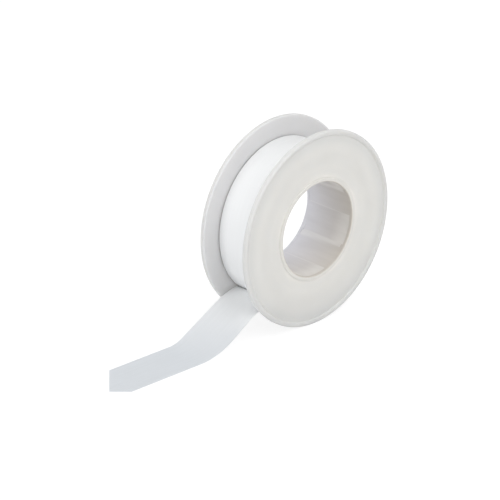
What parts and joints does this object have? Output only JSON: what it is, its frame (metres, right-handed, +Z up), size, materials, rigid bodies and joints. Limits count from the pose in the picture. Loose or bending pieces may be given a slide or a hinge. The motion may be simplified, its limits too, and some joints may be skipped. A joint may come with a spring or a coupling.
{
  "type": "thread seal tape roll",
  "caption": "Roll of white thread seal tape wound on a flanged plastic spool with a wide open bore, its loose end pulled off the underside of the roll and laid flat in front.",
  "frame": {"origin": "centre of the spool's bore, halfway between the flanges", "axes": "+Y along the spool's axis from the front flange to the back flange, -X the way the tape is pulled out, +Z up; the spool stands on its rims"},
  "size_m": [0.0889, 0.0156, 0.05],
  "materials": {
    "spool": "moulded, slightly translucent",
    "tape": "soft, matt"
  },
  "bodies": {
    "tape": {"tape_lead": "tape"},
    "spool": {"front_spool_half": "spool", "back_spool_half": "spool", "wound_tape": "tape"}
  },
  "joints": [
    {"name": "spool_turn", "type": "hinge", "parent": "tape", "child": "spool", "pos_m": [0, 0, 0], "axis": [0, 1, 0], "continuous": true}
  ]
}
